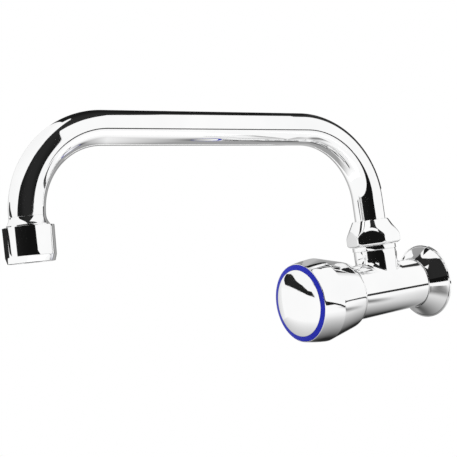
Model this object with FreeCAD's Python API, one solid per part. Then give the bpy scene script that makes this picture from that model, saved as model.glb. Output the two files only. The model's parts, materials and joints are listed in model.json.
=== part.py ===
import FreeCAD, Part
import math
import os

# Wall-mounted cold tap with a round knob and a swivelling tubular spout.
# The origin is on the supply axis in the wall plane, +Y points into the wall, +Z up.
# Lengths are millimetres and angles degrees. A station is a distance out from the wall.

Vector = FreeCAD.Vector
ORIGIN = Vector(0, 0, 0)
UP = Vector(0, 0, 1)

# Clearances, all radial or face to face
thread_clearance = 0.05
running_clearance = 0.05
slide_clearance = 0.05
free_clearance = 0.3
end_clearance = 0.1
pocket_clearance = 0.05
screw_clearance = 0.1

# Supply thread, a half inch pipe thread
thread_radius = 10.4775
thread_length = 13.0
thread_chamfer = 1.0
shoulder_out = 1.0
supply_bore_radius = 6.5

# Wall flange
flange_radius = 21.5
flange_rim = 1.2
flange_root_step = 0.9
flange_depth = 10.6
flange_lip = 0.5
flange_hub_length = 3.6
flange_rim_width = 1.3
flange_sag = 0.4
flange_rounding = 0.3

# Barrel
barrel_back_radius = 14.0
barrel_front_radius = 15.4
barrel_taper_out = 12.0
barrel_edge_rounding = 0.4

# Valve seat and chamber
seat_bore_radius = 5.0
seat_lip_radius = 6.6
seat_lip_height = 1.5
seat_web = 2.5
seat_to_port = 1.0
chamber_radius = 9.5

# Upright boss, with the spout's axis
spout_out = 36.0
port_radius = 8.0
boss_radius = 12.3
boss_height = 22.5
boss_fillet = 4.0
boss_groove_width = 0.25
boss_groove_depth = 0.3
collar_radius = 12.7
collar_height = 2.45
collar_rounding = 0.25
spigot_radius = 11.0
spigot_length = 6.8
port_entry_chamfer = 0.4

# Spout nut
nut_across_flats = 27.0
nut_to_collar = 0.3
nut_top = 40.0
nut_top_radius = 10.7
nut_cone_angle = 28.0
nut_bottom_chamfer = 1.2
nut_turn = 43.4
nut_rounding = 0.25

# Spout tail, slip ring and seals
tail_plug_length = 20.0
tail_bore_radius = 4.8
tail_flange_thickness = 2.0
tail_nipple_length = 10.0
slip_ring_thickness = 1.2
seal_section_radius = 0.85
seal_count = 2
seal_pitch = 5.0
seal_from_flange = 6.0
seal_squeeze = 0.02
seal_groove_play = 0.3

# Spout tube
tube_radius = 9.0
tube_wall = 1.0
leg_top = 51.8
base_bend_radius = 43.9
base_bend_angle = 86.2
run_length = 121.0
outlet_bend_radius = 42.4
outlet_bend_angle = 91.5
spout_yaw = 3.8

# Outlet tip
flare_length = 4.0
flare_radius = 10.5
flare_hollow = 0.35
tip_thread_radius = 10.4
tip_thread_length = 8.0
tip_bore_radius = 8.0

# Aerator
housing_gap = 0.7
housing_length = 17.3
housing_top_radius = 12.5
housing_waist_radius = 12.3
housing_bevel_radius = 11.4
housing_bevel_height = 3.0
housing_lip_height = 2.5
housing_lip_width = 0.8
housing_rounding = 0.3
aerator_washer_thickness = 2.0
aerator_washer_width = 3.4
insert_top = 1.5
insert_wall = 1.3
insert_nose_recess = 0.9
insert_hole_radius = 0.7
insert_hole_rings = 2
screen_thickness = 0.5
screen_recess = 0.5
screen_hole_radius = 0.7
screen_pitch = 2.1
screen_rings = 3

# Headwork bonnet
bonnet_thread_radius = 10.43
bonnet_thread_length = 14.0
bonnet_to_port = 2.0
gasket_thickness = 1.0
gasket_width = 2.4
bonnet_across_flats = 24.0
bonnet_hex_height = 6.0
bonnet_hex_chamfer = 0.8
neck_radius = 7.0
guide_across_flats = 13.0
guide_length = 11.0

# Spindle
spindle_radius = 4.5
spindle_screw_radius = 3.9
spindle_collar_thickness = 1.2
thrust_washer_thickness = 0.7
spindle_seal_radius = 0.7
spindle_seal_pitch = 4.0
spindle_seal_from_guide = 5.0
spline_radius = 4.0
spline_depth = 0.35
spline_count = 20
clip_thickness = 0.8
clip_width = 2.1
clip_groove_depth = 0.7
clip_opening = 4.0
clip_to_boss = 0.4
clip_to_neck = 0.2
spindle_recess = 0.5

# Jumper and its washer
jumper_lift = 4.0
jumper_engagement = 4.0
jumper_head_radius = 7.6
jumper_head_height = 3.0
jumper_washer_radius = 7.0
jumper_washer_thickness = 3.0
jumper_tip_room = 1.0
jumper_floor = 3.0
washer_screw_radius = 1.5
washer_screw_length = 6.5
washer_screw_head_radius = 3.0
washer_screw_head_height = 1.8
screw_slot_width = 0.9
screw_slot_depth = 0.8

# Knob
knob_gap = 0.5
knob_overhang = 0.6
knob_length = 35.5
knob_shoulder_length = 4.5
knob_shoulder_rise = 3.0
knob_shoulder_bulge = 0.49
knob_crease_radius = 23.2
knob_crease_out = 22.7
knob_front_radius = 21.5
knob_front_bulge = 0.2
knob_wall = 1.8
knob_lip = 1.0
knob_lip_length = 1.5
knob_web = 6.6
knob_rim_chamfer = 0.25
knob_boss_radius = 9.0
crease_rounding = 0.4
pocket_depth = 1.4
pocket_rim = 0.4
insert_radius = 6.2
insert_length = 9.0
screw_floor = 2.0
handle_screw_radius = 2.0
handle_screw_length = 12.0
handle_screw_head_radius = 3.8
handle_screw_head_height = 2.4
head_room = 0.2

# Index ring and cap
ring_width = 2.7
ring_outer_height = 1.5
ring_bevel = 0.7
cap_skirt_height = 2.2
cap_wall = 1.0
cap_rise = 2.5

# Stations along the barrel
port_back = spout_out - port_radius
seat_face = port_back - seat_to_port
chamber_back = seat_face - seat_lip_height
supply_bore_end = chamber_back - seat_web
bonnet_end = spout_out + port_radius + bonnet_to_port
barrel_front = bonnet_end + bonnet_thread_length
bonnet_hex_back = barrel_front + gasket_thickness
bonnet_hex_front = bonnet_hex_back + bonnet_hex_height
guide_front = bonnet_end + guide_length
knob_back = barrel_front + knob_gap
knob_front = knob_back + knob_length
pocket_floor = knob_front - pocket_depth
screw_seat = pocket_floor - head_room - handle_screw_head_height
insert_front = screw_seat - screw_floor
insert_back = insert_front - insert_length
clip_front = insert_back - clip_to_boss
clip_back = clip_front - clip_thickness
neck_front = clip_back - clip_to_neck
spindle_front = insert_front - spindle_recess
thrust_washer_back = guide_front - thrust_washer_thickness - running_clearance
collar_front = thrust_washer_back - running_clearance
collar_back = collar_front - spindle_collar_thickness

# Stations of the jumper when the valve is shut
washer_face = seat_face + end_clearance
jumper_back = washer_face + jumper_washer_thickness
jumper_front = bonnet_end + jumper_engagement
jumper_bore_end = jumper_back + jumper_head_height + jumper_floor
spindle_tip = jumper_bore_end + jumper_lift + jumper_tip_room

# Heights on the boss
collar_bottom = boss_height + boss_groove_width
collar_top = collar_bottom + collar_height
spigot_top = collar_top + spigot_length
nut_bottom = collar_top + nut_to_collar
tail_flange_bottom = spigot_top + running_clearance
tail_flange_top = tail_flange_bottom + tail_flange_thickness
slip_ring_top = tail_flange_top + slip_ring_thickness
nut_shoulder = slip_ring_top + end_clearance
tail_bottom = tail_flange_bottom - tail_plug_length

# Radii that follow from a mating piece
bonnet_bore_radius = bonnet_thread_radius + thread_clearance
nut_bore_radius = spigot_radius + thread_clearance
tail_plug_radius = port_radius - running_clearance
tail_flange_radius = nut_bore_radius - free_clearance
tube_bore_radius = tube_radius - tube_wall
tail_nipple_radius = tube_bore_radius - pocket_clearance
spindle_bore_radius = spindle_radius + running_clearance
jumper_bore_radius = spindle_screw_radius + screw_clearance
jumper_across_flats = guide_across_flats - 2 * slide_clearance
spindle_collar_radius = guide_across_flats / 2 - free_clearance
housing_bore_radius = tip_thread_radius + thread_clearance
knob_back_radius = barrel_front_radius + knob_overhang
pocket_radius = knob_front_radius - pocket_rim
ring_outer_radius = pocket_radius - pocket_clearance
ring_inner_radius = ring_outer_radius - ring_width
cap_radius = ring_inner_radius - pocket_clearance

# Stations down the outlet, from the end of the bend
housing_top = flare_length + housing_gap
housing_bottom = housing_top + housing_length
tip_end = flare_length + tip_thread_length
insert_start = tip_end + aerator_washer_thickness
housing_lip_top = housing_bottom - housing_lip_height
insert_end = housing_bottom - insert_nose_recess
screen_bottom = insert_end - screen_recess
screen_top = screen_bottom - screen_thickness

overcut = 1.0


def arc_middle(start, end, bulge):
    """Middle of an arc that stands off its chord by bulge, to the left of travel."""
    run = end[0] - start[0]
    rise = end[1] - start[1]
    chord = math.hypot(run, rise)
    height = (start[0] + end[0]) / 2 - bulge * rise / chord
    radius = (start[1] + end[1]) / 2 + bulge * run / chord
    return height, radius


def turned(*steps):
    """Solid turned about Z from (height, radius) points, with arcs as (height, radius, bulge)."""
    edges = []
    if steps[-1][:2] != steps[0][:2]:
        steps = steps + steps[:1]
    for start, end in zip(steps, steps[1:]):
        first = Vector(start[1], 0, start[0])
        last = Vector(end[1], 0, end[0])
        if len(end) == 3:
            height, radius = arc_middle(start, end, end[2])
            edges.append(Part.Arc(first, Vector(radius, 0, height), last).toShape())
        else:
            edges.append(Part.makeLine(first, last))
    return Part.Face(Part.Wire(edges)).revolve(ORIGIN, UP, 360)


def ring(bottom, top, inner, outer):
    """Plain ring about Z."""
    return turned((bottom, inner), (bottom, outer), (top, outer), (top, inner))


def rod(bottom, top, radius):
    """Plain cylinder about Z."""
    return Part.makeCylinder(radius, top - bottom, Vector(0, 0, bottom))


def prism(points, bottom, top):
    """Upright prism on a closed polygon."""
    corners = [Vector(x, y, bottom) for x, y in points]
    face = Part.Face(Part.makePolygon(corners + corners[:1]))
    return face.extrude(Vector(0, 0, top - bottom))


def hexagon(across_flats, bottom, top, turn=0.0):
    """Hexagonal prism about Z, with the middle of one flat at the turn from +X."""
    corner = across_flats / math.sqrt(3)
    angles = [math.radians(turn + 30 + 60 * side) for side in range(6)]
    return prism([(corner * math.cos(a), corner * math.sin(a)) for a in angles], bottom, top)


def splines(outer, depth, count, bottom, top):
    """Toothed shaft with pointed splines."""
    points = []
    for index in range(2 * count):
        radius = outer - depth * (index % 2)
        angle = math.pi * index / count
        points.append((radius * math.cos(angle), radius * math.sin(angle)))
    return prism(points, bottom, top)


def seal_ring(height, radius, section):
    """O-ring about Z."""
    return Part.makeTorus(radius, section, Vector(0, 0, height), UP)


def rounded(shape, size, *rims):
    """Round the circular edges at the given (height, radius) places about Z."""
    picked = []
    for edge in shape.Edges:
        box = edge.BoundBox
        for height, radius in rims:
            flat = box.ZLength < 1e-4 and abs(box.ZMin - height) < 1e-3
            if flat and abs(box.XMax - radius) < 1e-2 and abs(box.XMin + radius) < 1e-2:
                picked.append(edge)
    return shape.makeFillet(size, picked)


def along_barrel(shape):
    """Lay a shape made about Z along the barrel, its height becoming the station."""
    return shape.rotated(ORIGIN, Vector(1, 0, 0), 90)


def on_boss(shape):
    """Stand a shape made about Z on the spout's axis."""
    return shape.translated(Vector(0, -spout_out, 0))


def spout_path():
    """End point and heading of the spout's axis in its own plane, X out and Z up."""
    heading = 90 - base_bend_angle
    tilt = math.radians(heading)
    x = base_bend_radius * (1 - math.sin(tilt))
    z = leg_top + base_bend_radius * math.cos(tilt)
    x += run_length * math.cos(tilt)
    z += run_length * math.sin(tilt)
    heading_end = heading - outlet_bend_angle
    final = math.radians(heading_end)
    x += outlet_bend_radius * (math.sin(tilt) - math.sin(final))
    z += outlet_bend_radius * (math.cos(final) - math.cos(tilt))
    return Vector(x, 0, z), heading_end


def swung(shape):
    """Turn a shape from the spout's own plane to its resting yaw on the boss."""
    return on_boss(shape.rotated(ORIGIN, UP, -90 - spout_yaw))


def at_outlet(shape):
    """Put a shape made about Z on the outlet leg, its height becoming the distance down."""
    end, heading = spout_path()
    turned_down = shape.rotated(ORIGIN, Vector(0, 1, 0), 90 - heading)
    return swung(turned_down.translated(end))


def tap_body():
    outer = turned(
        (-thread_length + shoulder_out, 0),
        (-thread_length + shoulder_out, thread_radius - thread_chamfer),
        (-thread_length + shoulder_out + thread_chamfer, thread_radius),
        (shoulder_out, thread_radius),
        (shoulder_out, barrel_back_radius),
        (barrel_taper_out, barrel_back_radius),
        (barrel_front, barrel_front_radius),
        (barrel_front, 0),
    )
    outer = rounded(outer, barrel_edge_rounding, (barrel_front, barrel_front_radius))
    boss = turned(
        (0, 0),
        (0, boss_radius),
        (boss_height, boss_radius),
        (boss_height, boss_radius - boss_groove_depth),
        (collar_bottom, boss_radius - boss_groove_depth),
        (collar_bottom, collar_radius),
        (collar_top, collar_radius),
        (collar_top, spigot_radius),
        (spigot_top, spigot_radius),
        (spigot_top, 0),
    )
    boss = rounded(boss, collar_rounding, (collar_bottom, collar_radius), (collar_top, collar_radius))
    shell = along_barrel(outer).fuse(on_boss(boss))
    crossing = [edge for edge in shell.Edges if edge.Curve.TypeId == "Part::GeomBSplineCurve"]
    shell = shell.makeFillet(boss_fillet, crossing)
    waterway = turned(
        (-thread_length + shoulder_out - overcut, 0),
        (-thread_length + shoulder_out - overcut, supply_bore_radius),
        (supply_bore_end, supply_bore_radius),
        (supply_bore_end, seat_bore_radius),
        (seat_face, seat_bore_radius),
        (seat_face, seat_lip_radius),
        (chamber_back, seat_lip_radius),
        (chamber_back, chamber_radius),
        (bonnet_end - end_clearance, chamber_radius),
        (bonnet_end - end_clearance, bonnet_bore_radius),
        (barrel_front + overcut, bonnet_bore_radius),
        (barrel_front + overcut, 0),
    )
    port = turned(
        (0, 0),
        (0, port_radius),
        (spigot_top - port_entry_chamfer, port_radius),
        (spigot_top, port_radius + port_entry_chamfer),
        (spigot_top + overcut, port_radius + port_entry_chamfer),
        (spigot_top + overcut, 0),
    )
    return shell.cut(along_barrel(waterway)).cut(on_boss(port))


def wall_flange():
    bore = barrel_back_radius + end_clearance
    bell = turned(
        (0, flange_radius - flange_rim_width),
        (0, flange_radius),
        (flange_rim, flange_radius),
        (flange_rim, flange_radius - flange_root_step),
        (flange_depth, bore + flange_lip, -flange_sag),
        (flange_depth, bore),
        (flange_depth - flange_hub_length, bore),
        (0, flange_radius - flange_rim_width, flange_sag),
    )
    return along_barrel(rounded(bell, flange_rounding, (flange_rim, flange_radius)))


def spout_nut():
    cone_run = (nut_across_flats - nut_top_radius) / math.tan(math.radians(nut_cone_angle))
    corner = nut_across_flats / math.sqrt(3)
    envelope = turned(
        (nut_bottom, 0),
        (nut_bottom, corner - nut_bottom_chamfer),
        (nut_bottom + nut_bottom_chamfer, corner),
        (nut_bottom + nut_bottom_chamfer, nut_across_flats),
        (nut_top - cone_run, nut_across_flats),
        (nut_top, nut_top_radius),
        (nut_top, 0),
    )
    blank = hexagon(nut_across_flats, nut_bottom, nut_top, nut_turn - 90).common(envelope)
    bore = turned(
        (nut_bottom - overcut, 0),
        (nut_bottom - overcut, nut_bore_radius),
        (nut_shoulder, nut_bore_radius),
        (nut_shoulder, tube_radius + free_clearance),
        (nut_top + overcut, tube_radius + free_clearance),
        (nut_top + overcut, 0),
    )
    return on_boss(rounded(blank.cut(bore), nut_rounding, (nut_top, nut_top_radius)))


def spout_tube():
    tube = ring(tail_flange_top, leg_top, tube_bore_radius, tube_radius)
    here = Vector(0, 0, leg_top)
    heading = 90.0
    for radius, angle, length in (
        (base_bend_radius, base_bend_angle, run_length),
        (outlet_bend_radius, outlet_bend_angle, 0.0),
    ):
        section = tube_section(here, heading)
        slope = math.radians(heading)
        centre = here + Vector(math.sin(slope), 0, -math.cos(slope)) * radius
        tube = tube.fuse(section.revolve(centre, Vector(0, 1, 0), angle))
        heading -= angle
        slope = math.radians(heading)
        here = centre + Vector(-math.sin(slope), 0, math.cos(slope)) * radius
        if length:
            run = Vector(math.cos(slope), 0, math.sin(slope)) * length
            tube = tube.fuse(tube_section(here, heading).extrude(run))
            here = here + run
    return swung(tube)


def tube_section(centre, heading):
    """Ring-shaped face across the tube."""
    slope = math.radians(heading)
    along = Vector(math.cos(slope), 0, math.sin(slope))
    outside = Part.Face(Part.Wire(Part.makeCircle(tube_radius, centre, along)))
    inside = Part.Face(Part.Wire(Part.makeCircle(tube_bore_radius, centre, along)))
    return outside.cut(inside).Faces[0]


def tail_seal_heights():
    return [tail_flange_bottom - seal_from_flange - seal_pitch * index for index in range(seal_count)]


def tail_seal_centre():
    """Radius of the tail seals' section centre, just inside the port."""
    return port_radius - seal_section_radius - seal_squeeze


def spout_tail():
    tail = turned(
        (tail_bottom, 0),
        (tail_bottom, tail_plug_radius - port_entry_chamfer),
        (tail_bottom + port_entry_chamfer, tail_plug_radius),
        (tail_flange_bottom, tail_plug_radius),
        (tail_flange_bottom, tail_flange_radius),
        (tail_flange_top, tail_flange_radius),
        (tail_flange_top, tail_nipple_radius),
        (tail_flange_top + tail_nipple_length, tail_nipple_radius),
        (tail_flange_top + tail_nipple_length, 0),
    )
    tail = tail.cut(rod(tail_bottom - overcut, leg_top + tail_nipple_length, tail_bore_radius))
    floor = tail_seal_centre() - seal_section_radius
    half = seal_section_radius + seal_groove_play
    for height in tail_seal_heights():
        tail = tail.cut(ring(height - half, height + half, floor, port_radius + overcut))
    return swung(tail)


def spout_o_rings():
    centre = tail_seal_centre()
    seals = [seal_ring(height, centre, seal_section_radius) for height in tail_seal_heights()]
    return on_boss(Part.makeCompound(seals))


def slip_ring():
    inner = tube_radius + end_clearance
    return on_boss(ring(tail_flange_top, slip_ring_top, inner, tail_flange_radius))


def outlet_tip():
    tip = turned(
        (0, tube_radius),
        (flare_length, flare_radius, -flare_hollow),
        (flare_length, tip_thread_radius),
        (tip_end, tip_thread_radius),
        (tip_end, tip_bore_radius),
        (0, tip_bore_radius),
    )
    return at_outlet(tip)


def aerator_housing():
    lip_radius = housing_bore_radius - housing_lip_width
    housing = turned(
        (housing_top, housing_bore_radius),
        (housing_top, housing_top_radius),
        (housing_bottom - housing_bevel_height, housing_waist_radius),
        (housing_bottom, housing_bevel_radius),
        (housing_bottom, lip_radius),
        (housing_lip_top, lip_radius),
        (housing_lip_top, housing_bore_radius),
    )
    rims = ((housing_top, housing_top_radius), (housing_bottom, housing_bevel_radius))
    return at_outlet(rounded(housing, housing_rounding, *rims))


def aerator_washer():
    inner = tip_thread_radius - aerator_washer_width
    return at_outlet(ring(tip_end, insert_start, inner, tip_thread_radius))


def ring_of_holes(solid, hole_radius, pitch, rings, bottom, top):
    """Cut a centre hole and rings of six, twelve and more holes around it."""
    holes = [rod(bottom, top, hole_radius)]
    for index in range(1, rings + 1):
        for step in range(6 * index):
            angle = math.radians(360 * step / (6 * index))
            place = Vector(math.cos(angle), math.sin(angle), 0) * (pitch * index)
            holes.append(rod(bottom, top, hole_radius).translated(place))
    return solid.cut(Part.makeCompound(holes))


def aerator_insert():
    nose_radius = housing_bore_radius - housing_lip_width - pocket_clearance
    shell = turned(
        (insert_start, 0),
        (insert_start, tip_thread_radius),
        (housing_lip_top, tip_thread_radius),
        (housing_lip_top, nose_radius),
        (insert_end, nose_radius),
        (insert_end, nose_radius - insert_wall),
        (insert_start + insert_top, nose_radius - insert_wall),
        (insert_start + insert_top, 0),
    )
    pitch = (tip_thread_radius - aerator_washer_width) / (insert_hole_rings + 1)
    top = insert_start + insert_top + overcut
    return at_outlet(ring_of_holes(shell, insert_hole_radius, pitch, insert_hole_rings,
                                   insert_start - overcut, top))


def aerator_screen():
    nose_radius = housing_bore_radius - housing_lip_width - pocket_clearance
    disc = rod(screen_top, screen_bottom, nose_radius - insert_wall)
    return at_outlet(ring_of_holes(disc, screen_hole_radius, screen_pitch, screen_rings,
                                   screen_top - overcut, screen_bottom + overcut))


def bonnet_gasket():
    inner = bonnet_thread_radius + end_clearance
    return along_barrel(ring(barrel_front, bonnet_hex_back, inner, inner + gasket_width))


def headwork_bonnet():
    corner = bonnet_across_flats / math.sqrt(3)
    hex_envelope = turned(
        (bonnet_hex_back, 0),
        (bonnet_hex_back, corner),
        (bonnet_hex_front - bonnet_hex_chamfer, corner),
        (bonnet_hex_front, corner - bonnet_hex_chamfer),
        (bonnet_hex_front, 0),
    )
    collar = hexagon(bonnet_across_flats, bonnet_hex_back, bonnet_hex_front).common(hex_envelope)
    bonnet = rod(bonnet_end, bonnet_hex_back, bonnet_thread_radius).fuse(collar)
    bonnet = bonnet.fuse(rod(bonnet_hex_front, neck_front, neck_radius))
    bonnet = bonnet.cut(hexagon(guide_across_flats, bonnet_end - overcut, guide_front))
    return along_barrel(bonnet.cut(rod(bonnet_end, neck_front + overcut, spindle_bore_radius)))


def spindle_seal_stations():
    first = guide_front + spindle_seal_from_guide
    return [first + spindle_seal_pitch * index for index in range(seal_count)]


def spindle_seal_centre():
    """Radius of the spindle seals' section centre, just inside the bonnet's bore."""
    return spindle_bore_radius - spindle_seal_radius - seal_squeeze


def spindle():
    shaft = rod(spindle_tip, collar_back, spindle_screw_radius)
    shaft = shaft.fuse(rod(collar_back, collar_front, spindle_collar_radius))
    shaft = shaft.fuse(rod(collar_front, clip_front, spindle_radius))
    teeth = splines(spline_radius, spline_depth, spline_count, clip_front, spindle_front)
    shaft = shaft.fuse(teeth)
    floor = spindle_seal_centre() - spindle_seal_radius
    half = spindle_seal_radius + seal_groove_play
    for station in spindle_seal_stations():
        shaft = shaft.cut(ring(station - half, station + half, floor, spindle_radius + overcut))
    groove_floor = spindle_radius - clip_groove_depth
    shaft = shaft.cut(ring(clip_back, clip_front, groove_floor, spindle_radius + overcut))
    screw_end = screw_seat - handle_screw_length - overcut
    return along_barrel(shaft.cut(rod(screw_end, spindle_front, handle_screw_radius)))


def spindle_o_rings():
    centre = spindle_seal_centre()
    seals = [seal_ring(station, centre, spindle_seal_radius) for station in spindle_seal_stations()]
    return along_barrel(Part.makeCompound(seals))


def thrust_washer():
    inner = spindle_radius + end_clearance
    front = thrust_washer_back + thrust_washer_thickness
    return along_barrel(ring(thrust_washer_back, front, inner, spindle_collar_radius))


def spindle_clip():
    inner = spindle_radius - clip_groove_depth
    clip = ring(clip_back, clip_front, inner, inner + clip_width)
    slot = Part.makeBox(clip_opening, inner + clip_width + overcut, clip_thickness,
                        Vector(-clip_opening / 2, 0, clip_back))
    return along_barrel(clip.cut(slot))


def jumper():
    slide = rod(jumper_back, jumper_back + jumper_head_height, jumper_head_radius)
    slide = slide.fuse(hexagon(jumper_across_flats, jumper_back, jumper_front))
    slide = slide.cut(rod(jumper_bore_end, jumper_front + overcut, jumper_bore_radius))
    hole_end = washer_face + washer_screw_length + end_clearance
    return along_barrel(slide.cut(rod(jumper_back - overcut, hole_end, washer_screw_radius)))


def jumper_washer():
    hole_radius = washer_screw_radius + pocket_clearance
    return along_barrel(ring(washer_face, jumper_back, hole_radius, jumper_washer_radius))


def slotted_screw(shaft_radius, head_radius, head_height, length):
    """Slotted screw with its head's underside at zero and its shaft pointing down."""
    shaft = rod(-length, 0, shaft_radius)
    head = rounded(rod(0, head_height, head_radius), head_height / 3, (head_height, head_radius))
    slot = Part.makeBox(2 * head_radius, screw_slot_width, screw_slot_depth + overcut,
                        Vector(-head_radius, -screw_slot_width / 2, head_height - screw_slot_depth))
    return shaft.fuse(head).cut(slot)


def washer_screw():
    screw = slotted_screw(washer_screw_radius, washer_screw_head_radius, washer_screw_head_height,
                          washer_screw_length)
    turned_over = screw.rotated(ORIGIN, Vector(1, 0, 0), 180)
    return along_barrel(turned_over.translated(Vector(0, 0, washer_face)))


def knob_shell():
    shoulder = knob_back + knob_shoulder_length
    crease = knob_back + knob_crease_out
    web_back = pocket_floor - knob_web
    lip_radius = knob_back_radius - knob_lip
    shell = turned(
        (knob_back, lip_radius),
        (knob_back, knob_back_radius),
        (shoulder, knob_back_radius + knob_shoulder_rise, knob_shoulder_bulge),
        (crease, knob_crease_radius),
        (knob_front - knob_rim_chamfer, knob_front_radius, knob_front_bulge),
        (knob_front, knob_front_radius - knob_rim_chamfer),
        (knob_front, pocket_radius),
        (pocket_floor, pocket_radius),
        (pocket_floor, 0),
        (web_back, 0),
        (web_back, knob_front_radius - knob_wall),
        (crease, knob_crease_radius - knob_wall),
        (shoulder, knob_back_radius + knob_shoulder_rise - knob_wall),
        (knob_back + knob_lip_length, lip_radius),
    )
    shell = rounded(shell, crease_rounding, (crease, knob_crease_radius))
    shell = shell.fuse(rod(insert_back, web_back + overcut, knob_boss_radius))
    shell = shell.cut(rod(insert_back - overcut, insert_front, insert_radius))
    screw_hole_radius = handle_screw_radius + screw_clearance
    shell = shell.cut(rod(insert_front - overcut, screw_seat + overcut, screw_hole_radius))
    well = rod(screw_seat, pocket_floor + overcut, handle_screw_head_radius + free_clearance)
    return along_barrel(shell.cut(well))


def spline_insert():
    bush = rod(insert_back, insert_front, insert_radius - pocket_clearance)
    bore = splines(spline_radius + pocket_clearance, spline_depth, spline_count,
                   insert_back - overcut, insert_front + overcut)
    return along_barrel(bush.cut(bore))


def handle_screw():
    screw = slotted_screw(handle_screw_radius - pocket_clearance, handle_screw_head_radius,
                          handle_screw_head_height, handle_screw_length)
    return along_barrel(screw.translated(Vector(0, 0, screw_seat)))


def index_ring():
    outer_height = pocket_floor + ring_outer_height
    band = turned(
        (pocket_floor, ring_inner_radius),
        (pocket_floor, ring_outer_radius),
        (outer_height, ring_outer_radius),
        (outer_height + ring_bevel, ring_inner_radius),
    )
    return along_barrel(band)


def domed_rod(bottom, rim, radius, rise):
    """Cylinder about Z topped by a shallow cap of a ball."""
    ball_radius = (radius ** 2 + rise ** 2) / (2 * rise)
    ball = Part.makeSphere(ball_radius, Vector(0, 0, rim + rise - ball_radius))
    return rod(bottom, rim + rise, radius).common(ball.fuse(rod(bottom, rim, radius)))


def knob_cap():
    rim = pocket_floor + cap_skirt_height
    cap = domed_rod(pocket_floor, rim, cap_radius, cap_rise)
    inside = domed_rod(pocket_floor - overcut, rim - cap_wall, cap_radius - cap_wall, cap_rise)
    return along_barrel(cap.cut(inside).removeSplitter())


PIECES = (
    tap_body, wall_flange, spout_nut, headwork_bonnet, bonnet_gasket,
    knob_shell, index_ring, knob_cap, handle_screw, spline_insert,
    spindle, spindle_o_rings, thrust_washer, spindle_clip,
    jumper, jumper_washer, washer_screw,
    spout_tube, spout_tail, spout_o_rings, slip_ring,
    outlet_tip, aerator_housing, aerator_washer, aerator_insert, aerator_screen,
)

os.makedirs("parts", exist_ok=True)
for piece in PIECES:
    shape = piece()
    if not shape.isValid():
        raise ValueError(piece.__name__ + " is not a valid shape")
    shape.exportStep("parts/" + piece.__name__ + ".step")
    print(piece.__name__, len(shape.Solids), round(shape.Volume, 2))
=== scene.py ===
import json
import math

import bpy
import numpy as np
from mathutils import Matrix, Vector


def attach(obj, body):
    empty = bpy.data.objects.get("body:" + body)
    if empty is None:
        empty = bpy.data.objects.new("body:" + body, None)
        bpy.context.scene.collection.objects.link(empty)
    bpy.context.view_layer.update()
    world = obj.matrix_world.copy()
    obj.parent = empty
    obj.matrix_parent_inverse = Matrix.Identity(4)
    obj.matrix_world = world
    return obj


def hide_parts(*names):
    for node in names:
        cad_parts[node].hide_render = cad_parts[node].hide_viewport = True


# A wall-mounted chrome tap with a round knob, a hexagonal spout nut and a bent swivel spout.
# Sizes are millimetres until a mesh is made, which is in metres in the frame of the construction.

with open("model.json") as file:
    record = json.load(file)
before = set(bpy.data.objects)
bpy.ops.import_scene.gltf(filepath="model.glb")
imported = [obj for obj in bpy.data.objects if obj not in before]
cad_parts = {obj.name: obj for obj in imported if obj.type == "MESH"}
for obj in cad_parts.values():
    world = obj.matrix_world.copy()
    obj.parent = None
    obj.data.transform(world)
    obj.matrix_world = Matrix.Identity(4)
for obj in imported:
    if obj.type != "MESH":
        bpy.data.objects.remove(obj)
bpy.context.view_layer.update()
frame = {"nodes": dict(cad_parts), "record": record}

# Metres in a millimetre, and the distance in millimetres under which points are one
MM = 0.001
MERGE = 0.0001

# Camera
CAMERA_AZIMUTH = 54.98
CAMERA_ELEVATION = -1.35
CAMERA_ROLL = -7.97
CAMERA_PLACE = (466.99, -463.39, 31.83)
SENSOR = 36.0
LENS = 85.47

# Barrel and supply thread. Stations are measured out from the wall, and the barrel widens evenly
# from BARREL_TAPER_OUT to its front.
THREAD_TIP = -12.0
THREAD_RADIUS = 10.4775
THREAD_DEPTH = 1.16
THREAD_PITCH = 1.814
THREAD_CHAMFER = 1.0
SHOULDER_OUT = 1.0
SUPPLY_BORE = 6.5
SUPPLY_BORE_END = 23.0
BARREL_BACK_RADIUS = 14.0
BARREL_FRONT_RADIUS = 15.4
BARREL_TAPER_OUT = 12.0
BARREL_FRONT = 60.0
BARREL_SLOPE = (BARREL_FRONT_RADIUS - BARREL_BACK_RADIUS) / (BARREL_FRONT - BARREL_TAPER_OUT)
BARREL_TAPER = math.atan(BARREL_SLOPE)
BARREL_BORE = 10.48
BONNET_END = 45.9
CHAMBER_RADIUS = 9.5
CHAMBER_BACK = 25.5
SEAT_FACE = 27.0
SEAT_LIP_RADIUS = 6.6
SEAT_BORE = 5.0

# Boss and collar
SPOUT_OUT = 36.0
BOSS_RADIUS = 12.3
BOSS_HEIGHT = 22.5
BOSS_FILLET = 4.0
BOSS_GROOVE = 0.3
COLLAR_BOTTOM = 22.75
COLLAR_TOP = 25.2
COLLAR_RADIUS = 12.7
SPIGOT_RADIUS = 11.0
SPIGOT_TOP = 32.0
PORT_RADIUS = 8.0
PORT_FLOOR = 11.5

# Wall flange
FLANGE_RADIUS = 21.5
FLANGE_RIM = 1.2
FLANGE_DEPTH = 10.6
FLANGE_BORE = 14.1
FLANGE_RIM_WIDTH = 1.3
FLANGE_STEP = 0.9
FLANGE_LIP = 0.4
FLANGE_HUB = 3.6
FLANGE_SAG = 0.4

# Nut
NUT_SIDES = 6
NUT_ACROSS_FLATS = 27.0
NUT_BOTTOM = 25.5
NUT_TOP = 40.0
NUT_TOP_RADIUS = 10.7
NUT_CONE_ANGLE = 28.0
NUT_TURN = 43.4
NUT_HOLE = 9.3
NUT_SHOULDER = 35.35
NUT_BORE = 11.05

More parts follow.
